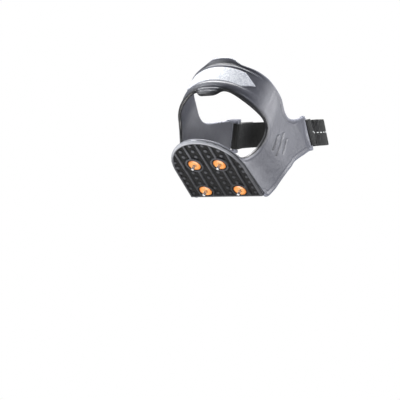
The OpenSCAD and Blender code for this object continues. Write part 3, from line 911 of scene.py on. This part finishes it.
# %% Arch, turns and crown
WEB_W, WEB_T, PATCH_W, PATCH_T, PATCH_GAP, RIB_STEP = 25.0, 1.8, 22.0, 0.8, 0.3, 1.6
LOOP_R = ROD_R + 0.1 + WEB_T / 2
RISE, TOP_TILT = np.radians(44), np.radians(32)
RISE_DIR = np.array([0, np.cos(RISE), np.sin(RISE)])
TOP_ALONG = np.array([0, np.cos(TOP_TILT), -np.sin(TOP_TILT)])
ARCH_X, TURN_R, SIDE_RISE, ARCH_TURN = 43.0, 22.0, 25.0, 72.0
TURN_MID = ARCH_X - TURN_R
CROWN_R = TURN_MID / np.cos(np.radians(ARCH_TURN)) + TURN_R
CROWN_MID = SIDE_RISE - TURN_MID * np.tan(np.radians(ARCH_TURN))
reach_x = rod_mid[0] - TURN_MID
to_turn = np.hypot(reach_x, SIDE_RISE)
side_lean = np.degrees(np.arcsin((TURN_R + LOOP_R) / to_turn) - np.arctan2(reach_x, SIDE_RISE))
side_dir = np.array([np.sin(np.radians(side_lean)), 0, 0]) + RISE_DIR * np.cos(np.radians(side_lean))
bar_out = unit(side_dir - slot_along * (side_dir @ slot_along))
bar_face = np.cross(slot_along, bar_out)


def station(place, share):
    """Places with their width directions, which swing from slot to instep as share goes from 0 to 1."""
    share = np.asarray(share, float).reshape(-1, 1)
    return np.concatenate([place, unit(slot_along * (1 - share) + TOP_ALONG * share)], axis=-1)


def arch_point(x, rise):
    """Places in the plane of the arch, at x and at a rise along RISE_DIR."""
    x, y, z = np.broadcast_arrays(x, rod_mid[1], rod_mid[2])
    return np.stack([x, y, z], -1) + np.asarray(rise)[..., None] * RISE_DIR


def turn_part(a):
    """The tight turn of each side, at angles a in degrees."""
    t = np.radians(a)
    return station(arch_point(TURN_MID + TURN_R * np.cos(t), SIDE_RISE + TURN_R * np.sin(t)),
                   0.3 + 0.5 * (a + side_lean) / (ARCH_TURN + side_lean))


def crown_part(a):
    """The flat crown over the instep, at angles a in degrees."""
    t = np.radians(a)
    return station(arch_point(CROWN_R * np.cos(t), CROWN_MID + CROWN_R * np.sin(t)),
                   0.8 + 0.2 * (a - ARCH_TURN) / (90 - ARCH_TURN))


def by_bar(out_by, face_by):
    """A place beside the right bar, out of it and away from the boot, with the slot's own width direction."""
    out_by, face_by = np.reshape(out_by, (-1, 1)), np.reshape(face_by, (-1, 1))
    place = rod_mid + out_by * bar_out + face_by * bar_face
    return np.concatenate([place, np.broadcast_to(slot_along, place.shape)], axis=-1)


inner_side = rod_mid - bar_face * LOOP_R
turn_start = turn_part(np.array([-side_lean]))[0, :3]
f = np.linspace(0, 1, 7)[:, None]
right_side = station(inner_side * (1 - f) + turn_start * f, 0.3 * f)
right_turn = turn_part(np.arange(9 - side_lean, ARCH_TURN - 1 + 1e-9, 9))
right_crown = crown_part(np.arange(ARCH_TURN, 88 + 1e-9, 3))
half_arch = np.concatenate([right_side, right_turn, right_crown])


def flipped(path):
    """The same path on the other side, run the other way."""
    return path[::-1] * np.array([-1, 1, 1, -1, 1, 1])


def faces_of(path):
    """Outward face direction at each station: width direction x run."""
    p = path[:, :3]
    run = unit(np.concatenate([p[1:2] - p[:1], p[2:] - p[:-2], p[-1:] - p[-2:-1]]))
    return unit(np.cross(path[:, 3:], run))


def lifted(path, first, last, gap):
    """Stations first..last of a path, moved out from the boot by gap."""
    moved = path[first:last + 1].copy()
    moved[:, :3] += faces_of(path)[first:last + 1] * gap
    return moved


a = np.radians(np.arange(90, 256, 15))
right_loop = by_bar(LOOP_R * np.cos(a), LOOP_R * np.sin(a))
right_tail = np.concatenate([lifted(half_arch, 3, 6, WEB_T + 0.05)[::-1], by_bar(7.5, 0.6), by_bar(4, 2.45)])
arch = np.concatenate([half_arch, crown_part(np.array([90.0])), flipped(half_arch)])
strap_path = np.concatenate([right_tail, right_loop, arch, flipped(right_loop)])
flap_start = np.concatenate([by_bar(0.3, LOOP_R), by_bar(3.5, 2.9), by_bar(7, 1.6)])
flap_path = flipped(np.concatenate([flap_start, lifted(half_arch, 4, 12, WEB_T + 2 * PATCH_T + PATCH_GAP)]))
patch_path = flipped(half_arch[4:12])


def run_length(path):
    """Distance along a path at each of its stations."""
    return np.concatenate([[0], np.cumsum(np.linalg.norm(np.diff(path[:, :3], axis=0), axis=1))])


for name, path in (("strap", strap_path), ("flap", flap_path)):
    print(f"{name} {run_length(path)[-1]:.1f} mm long")

# %% [markdown]
# ## Webbing
# This webbing is woven in two halves, each with ribs straight across it every 1.6 mm, and a
# flat seam between them where the tracer thread runs. The ribs are real: the ribbon has
# several stations a rib, and its thickness follows a row of rounded ridges. The yarn on them
# is a bump from the piece's own woven coordinates, along and across, so it follows every bend.

# %% Webbing finish and ribbon
def woven(name, dark, pale):
    """Nylon: paler rib tops, with darker valleys between the ribs and between the yarns as painted shade, a
    random slub, yarns as waves along the ribs, and a soft sheen.
    """
    f = Finish(name, Sheen_Weight=0.2, Sheen_Roughness=0.45, Specular_IOR_Level=0.35, Roughness=0.62)
    lay = f.add("ShaderNodeAttribute", attribute_name="woven").outputs["Vector"]
    split = f.add("ShaderNodeSeparateXYZ", {0: lay})
    along, across = split.outputs[0], split.outputs[1]
    rib, yarn = f.ridges(along, RIB_STEP), f.ridges(across, 0.55)
    slub = f.noise(0.8, 4, stretch=(1, 4, 1), source=lay)
    # Darker in the valleys between ribs and between yarns: painted shade. The slub is random tone.
    top = f.times(f.spread(rib, 0.25, 0.95, 0.12, 1.0), f.spread(slub, 0.3, 0.7, 0.55, 1.0))
    f.to("Base Color", f.mix(f.times(top, f.spread(yarn, 0, 1, 0.55, 1.0)), dark, pale))
    f.bumps((yarn, 0.00012), (rib, 0.00012), (f.noise(0.15, 3, source=lay), 0.00006))
    return f.material


def ribbon(path, width, thick, lift=0.0, step=0.36, rib=0.0, columns=26, ease=1.2):
    """A closed ribbon along a path, with its woven coordinates (along mm, across mm, 0) at each point.
    Half its thickness at (s, v) is thick/2 less the valleys between ribs: rib * (1 - |sin(pi s / 1.6)|)."""
    marks = run_length(path)
    s = np.linspace(0, marks[-1], max(int(marks[-1] / step), 8))
    line, gap = sampled(path, marks, s), s[1] - s[0]
    half = int(round(3 * ease / gap))
    head, tail = 2 * line[0] - line[half:0:-1], 2 * line[-1] - line[-2:-half - 2:-1]
    line = averaged(np.concatenate([head, line, tail]), half, gap, ease)
    place, wide = line[:, :3], unit(line[:, 3:])
    run = unit(np.gradient(place, axis=0))
    face = unit(np.cross(wide, run))
    side = np.cross(run, face)
    v = np.linspace(-1, 1, columns)
    seam = hump(v * width / 2, 1.0)
    ridge = np.abs(np.sin(np.pi * s / RIB_STEP))[:, None]
    valley = rib * (1 - ridge) * (1 - seam)[None, :] + rib * seam[None, :]
    selvedge = 0.62 + 0.38 * smooth((1 - np.abs(v)) * width / 2 / 0.9)
    end = 0.7 + 0.3 * smooth(np.minimum(s, s[-1] - s) / 0.6)[:, None]
    half_thick = (thick / 2 * selvedge[None, :] * end - valley * selvedge[None, :])[..., None]
    wobble = 0.12 * np.sin(2 * np.pi * s / RIB_STEP)[:, None] * (rib > 0)
    reach = (v[None, :] * width / 2 + wobble * np.sign(v) * (np.abs(v) > 0.97))[..., None]
    centre, up = place[:, None] + face[:, None] * lift + side[:, None] * reach, face[:, None] * half_thick
    ring = np.concatenate([centre + up, (centre - up)[:, ::-1]], axis=1)
    lay = np.stack(np.broadcast_arrays(s[:, None], v[None, :] * width / 2, 0.0), -1)
    return tube(ring), np.concatenate([lay, lay[:, ::-1]], axis=1).reshape(-1, 3)


webbing = woven("ribbed_webbing", (0.003, 0.0032, 0.003), (0.019, 0.02, 0.0185))
for name, path, body, node in (("strap_webbing", strap_path, "root", "strap"),
                               ("flap_webbing", flap_path, "flap", "strap_flap")):
    skin, lay = ribbon(path, WEB_W, WEB_T, rib=0.22)
    make_piece(name, skin, webbing, body=body, stands_for=[node], marks={"woven": lay})

# %% [markdown]
# ## Threads
# A reflective tracer thread shows down the middle of the webbing as pale dashes, and the sewn
# end is held by rows of black zigzag stitches. A dash is a small rounded pillow. One pillow is
# worked out, and then laid at each place along the path with that place's own directions.

# %% Pillows laid along a path
def pillow(length, width, height, nu=9, nv=7):
    """A closed pillow: height * sqrt((1-u^4)(1-v^2)) above its plane, and a flat underside."""
    u, v = np.meshgrid(np.linspace(-1, 1, nu), np.linspace(-1, 1, nv), indexing="ij")
    top = height * np.sqrt(np.clip((1 - u ** 4) * (1 - v ** 2), 0.0004, None))
    x, y = u * length / 2, v * width / 2 * (1 - 0.25 * u ** 4)
    over, under = np.stack([x, y, top], -1), np.stack([x, y, -0.12 + 0 * top], -1)
    return tube(np.concatenate([over, under[:, ::-1]], axis=1))


def laid(shape, path, at_lengths, across, lift, turn=None):
    """Copies of a shape on a path's outer face, at each length, that far across, turned in their plane."""
    marks = run_length(path)
    here, ahead, behind = (sampled(path, marks, at_lengths + shift) for shift in (0, 0.4, -0.4))
    line, wide = here[:, :3], here[:, 3:]
    run = unit(ahead[:, :3] - behind[:, :3])
    face = unit(np.cross(wide, run))
    side = np.cross(face, run)
    angle = np.zeros(len(at_lengths)) if turn is None else turn
    points, faces = shape
    c, s = np.cos(angle)[:, None], np.sin(angle)[:, None]
    u, v = points[None, :, 0], points[None, :, 1]
    x, y = u * c - v * s, u * s + v * c
    y = y + np.reshape(across, (-1, 1))
    place = (line[:, None] + run[:, None] * x[..., None] + side[:, None] * y[..., None]
             + face[:, None] * (points[None, :, 2] + lift)[..., None])
    order = faces[None] + (np.arange(len(at_lengths)) * len(points))[:, None, None]
    return place.reshape(-1, 3), order.reshape(-1, 4)


def thread(name, dull, bright, strand, stretch, gloss, **steady):
    """Yarn: twisted strands from dull to bright, which are rougher where they are brighter."""
    f = Finish(name, **steady)
    twist = f.noise(strand, 3, stretch=stretch)
    f.to("Base Color", f.mix(f.spread(twist, 0.35, 0.65, 0, 1), dull, bright))
    f.to("Roughness", f.spread(twist, 0.3, 0.7, gloss, 0.55))
    f.bumps((twist, 0.00008))
    return f.material


tracer_thread = thread("tracer_thread", (0.5, 0.52, 0.5), (0.86, 0.88, 0.86), 0.0003, (1, 1, 4), 0.3,
                       Metallic=0.15, Sheen_Weight=0.2)
sewing_thread = thread("sewing_thread", (0.006, 0.006, 0.007), (0.035, 0.035, 0.04), 0.00025, (1, 1, 1), 0.35,
                       Specular_IOR_Level=0.6)
dash = pillow(2.7, 1.1, 0.36)
ON_WEB = 0.78  # height of a thread's plane above the middle of the webbing
tail_path = right_tail[::-1]
arch_length, flap_length, tail_length = (run_length(p)[-1] for p in (arch, flap_path, tail_path))


def dashes(path, first, last):
    """Dashes of tracer thread every 4.8 mm of a path, from first to last."""
    return laid(dash, path, np.arange(first, last, 4.8), 0.0, ON_WEB)


on_strap = [dashes(arch, run_length(right_side)[-1] + 3, arch_length - flap_length - 2),
            dashes(tail_path, 2.4, tail_length - 1.5)]
make_piece("strap_tracer_thread", joined(on_strap), tracer_thread,
           stands_for=["strap_tracer"])
make_piece("flap_tracer_thread", dashes(flap_path, 3, flap_length - 3), tracer_thread, body="flap",
           stands_for=["flap_tracer"])

# %% [markdown]
# Each bar tack is a zigzag: short threads that lean one way and then the other, across the
# webbing.

# %% Bar tacks of the sewn end
stitch = pillow(1.55, 0.42, 0.34, 7, 5)
tack_across = np.concatenate([np.arange(-10.6, -0.9, 0.5), np.arange(1.0, 10.7, 0.5)])
tack_at = np.array([tail_length - 8, tail_length - 2.5])
all_at, all_across = np.repeat(tack_at, len(tack_across)), np.tile(tack_across, 2)
lean = np.where(np.arange(len(all_at)) % 2 == 0, 0.35, -0.35)
make_piece("bar_tacks", laid(stitch, tail_path, all_at, all_across, ON_WEB, lean), sewing_thread,
           stands_for=["end_stitching"])

# %% [markdown]
# ## Hook and loop
# The flap's inner side carries stiff hooks, and the strap under it carries soft loops. Both
# are small shapes repeated hundreds of times on a thin woven base, so each has only a few
# faces. A hook is a bent stalk, a loop is half a ring. They show when the flap is peeled open.

# %% Hook and loop patches
def bent_stalk(height, reach, radius, steps=6, sides=5):
    """A tube along a hook's line: straight up, then over in a half circle of the given reach."""
    t = np.linspace(0, 1, steps)
    over = np.pi * np.clip((t - 0.35) / 0.65, 0, 1)
    x = reach / 2 * (1 - np.cos(over))
    z = height * 0.6 * np.clip(t / 0.35, 0, 1) + height * 0.4 * np.sin(over)
    line = np.stack([x, 0 * x, z], -1)
    run = unit(np.gradient(line, axis=0))
    side = np.array([0.0, 1.0, 0.0])
    upright = np.cross(run, side)
    f = 2 * np.pi * np.arange(sides) / sides
    size = radius * (1 - 0.35 * t)[:, None, None]
    c, s = np.cos(f)[None, :, None], np.sin(f)[None, :, None]
    points = line[:, None] + size * (c * upright[:, None] + s * side)
    rows = len(line)
    faces = grid_faces(rows, sides, ring=True)
    ends = [[0, 1, 2, 3], [0, 3, 4, 4]]
    caps = np.array(ends + [[(rows - 1) * sides + k for k in end] for end in ends])
    return points.reshape(-1, 3), np.concatenate([faces, caps])


def pile(shape, path, pitch, width, base, jitter, seed, under=False):
    """A shape repeated on a patch in staggered rows, each turned and shifted a little at random."""
    length = run_length(path)[-1]
    s, v = np.meshgrid(np.arange(1.2, length - 1.1, pitch),
                       np.arange(-width / 2 + 1, width / 2 - 0.9, pitch), indexing="ij")
    v = v + (np.arange(s.shape[0]) % 2)[:, None] * pitch / 2 - pitch / 4
    rng = np.random.default_rng(seed)
    s, v = s.ravel() + rng.normal(0, jitter, s.size), v.ravel() + rng.normal(0, jitter, s.size)
    shape = (shape[0] * (1, 1, -1), shape[1]) if under else shape
    return laid(shape, path, s, v, base, rng.uniform(0, 2 * np.pi, s.size) if jitter > 0.1 else None)


def patch_cloth(name, colour, pale):
    """Nylon of the patches: dark, with a fine woven bump and broad unevenness."""
    f = Finish(name, Sheen_Weight=0.3, Specular_IOR_Level=0.5)
    fine = f.noise(0.0005, 3)
    f.to("Base Color", f.mix(f.spread(fine, 0.35, 0.65, 0, 1), colour, pale))
    f.gloss(0.002, 3, 0.45, 0.7)
    f.bumps((fine, 0.00012), (f.noise(0.0015, 2), 0.00012))
    return f.material


def quads_only(skin):
    """The faces of a skin as lists, without the doubled corner that stands for a triangle."""
    points, faces = skin
    return points, [list(dict.fromkeys(face)) for face in faces.tolist()]


hook_cloth = patch_cloth("hook_cloth", (0.012, 0.012, 0.013), (0.03, 0.03, 0.033))
loop_cloth = patch_cloth("loop_cloth", (0.014, 0.014, 0.015), (0.045, 0.045, 0.048))
loops = pile(bent_stalk(0.36, 0.5, 0.07), patch_path, 1.15, PATCH_W, 1.3, 0.2, 3)
hooks = pile(bent_stalk(0.36, 0.4, 0.1), patch_path, 1.5, PATCH_W, 2.45, 0.0, 5, under=True)
for name, lift, tufts, cloth, body, tape, node in (
        ("loop_pile_patch", 1.12, loops, loop_cloth, "root", "loop_tape", "loop_patch"),
        ("hook_pile_patch", 2.62, hooks, hook_cloth, "flap", "hook_tape", "hook_patch")):
    base, _ = ribbon(patch_path, PATCH_W, 0.42, lift=lift, step=1.0, columns=14, ease=0.6)
    make_piece(name, quads_only(joined([base, tufts])), cloth, body=body, stands_for=[node])

# %% [markdown]
# ## Camera
# The camera looks up at the heel from behind and below, on the right, rolled a little so that
# the wing runs down to the right. A long lens from 1.3 m keeps the sides nearly parallel. It is
# placed by its own three directions.

# %% Camera
def look(azimuth, elevation, roll):
    """Right, up and forward of a camera: along +Y at azimuth 0, and rolled about its line of sight."""
    a, e, r = np.radians([azimuth, elevation, roll])
    forward = -np.array([np.sin(a) * np.cos(e), -np.cos(a) * np.cos(e), np.sin(e)])
    upright = unit(np.array([0, 0, 1]) - forward * forward[2])
    level = np.cross(forward, upright)
    return level * np.cos(r) + upright * np.sin(r), upright * np.cos(r) - level * np.sin(r), forward


cam_right, cam_up, cam_forward = look(39.226, -33.517, 23.491)
camera = bpy.data.objects.new("camera", bpy.data.cameras.new("camera"))
bpy.context.scene.collection.objects.link(camera)
bpy.context.scene.camera = camera
camera.data.lens = 131.0
stand = placed((0, 0, 0)) + (-13.1 * cam_right - 19.3 * cam_up) * MM - 1.3 * cam_forward
turn = np.stack([cam_right, cam_up, -cam_forward], 1)
camera.matrix_world = Matrix.Translation(Vector(stand)) @ Matrix(turn.tolist()).to_4x4()
print("camera at", np.round(stand, 3), "lens", camera.data.lens)

# %% [markdown]
# ## Floor, world and lights
# The cleat stands on a pale floor. The camera is under it, so the floor is one-sided: seen from
# below it lets everything through, and it throws no shadow. The world is a white studio with
# soft panels. One big panel on the wing's side models the rubber, a high one behind gives the
# edges their pale lines, a weak one fills the left, and a low one keeps the tread readable.

# %% Floor and world
def one_sided_floor():
    """Pale plaster that glows a little, to stay even to the horizon; clear from behind, by Backfacing."""
    f = Finish("pale_floor", Roughness=0.7, Emission_Color=(1, 1, 1, 1), Emission_Strength=0.74)
    cloudy = f.spread(f.noise(0.05, 3), 0.3, 0.7, 0, 1)
    f.to("Base Color", f.mix(cloudy, (0.27, 0.27, 0.275), (0.3, 0.3, 0.305)))
    clear = f.add("ShaderNodeBsdfTransparent").outputs[0]
    behind = f.add("ShaderNodeNewGeometry").outputs["Backfacing"]
    both = f.add("ShaderNodeMixShader", {0: behind, 1: f.shader.outputs[0], 2: clear})
    f.tree.links.new(both.outputs[0], f.tree.nodes["Material Output"].inputs["Surface"])
    return f.material


floor_mesh = bpy.data.meshes.new("floor")
floor_mesh.from_pydata([(-3, -3, 0), (3, -3, 0), (3, 3, 0), (-3, 3, 0)], [], [(0, 1, 2, 3)])
floor_mesh.materials.append(one_sided_floor())
floor = bpy.data.objects.new("floor", floor_mesh)
bpy.context.scene.collection.objects.link(floor)
floor.visible_shadow = floor.visible_diffuse = floor.visible_glossy = False

world = bpy.data.worlds.new("studio")
bpy.context.scene.world = world
world.use_nodes = True
sky = world.node_tree
soft = sky.nodes["Background"]
soft.inputs["Color"].default_value, soft.inputs["Strength"].default_value = (0.94, 0.96, 1.0, 1), 0.27
white = sky.nodes.new("ShaderNodeBackground")
white.inputs["Color"].default_value, white.inputs["Strength"].default_value = (1, 1, 1, 1), 1.0
path = sky.nodes.new("ShaderNodeLightPath")
choice = sky.nodes.new("ShaderNodeMixShader")
for k, source in enumerate((path.outputs["Is Camera Ray"], soft.outputs[0], white.outputs[0])):
    sky.links.new(source, choice.inputs[k])
sky.links.new(choice.outputs[0], sky.nodes["World Output"].inputs["Surface"])
bpy.context.scene.view_settings.view_transform = "Standard"

# %% Lights
heart = Vector(placed((5, 0, 50)))


def panel(name, right, up, back, size, power, tint=(1, 1, 1)):
    """A soft square panel, placed by how far right, up and towards the camera it stands, facing the cleat."""
    way = unit(right * cam_right + up * cam_up - back * cam_forward)
    light = bpy.data.objects.new(name, bpy.data.lights.new(name, "AREA"))
    light.data.shape, light.data.size, light.data.energy, light.data.color = "SQUARE", size, power, tint
    bpy.context.scene.collection.objects.link(light)
    light.location = heart + Vector(way) * 0.9
    light.rotation_mode = "QUATERNION"
    light.rotation_quaternion = Vector(way).to_track_quat("Z", "Y")


panel("wing_side", 1.0, 0.15, 0.0, 0.6, 9.5, (0.97, 0.97, 1.0))
panel("high_back", -0.1, 1.0, -0.5, 0.7, 18.0)
panel("left_high", -0.9, 0.6, 0.0, 0.5, 4.0, (0.95, 0.97, 1.0))
panel("low_tread", -0.5, -0.9, 0.4, 0.6, 8.0, (1.0, 0.98, 0.96))
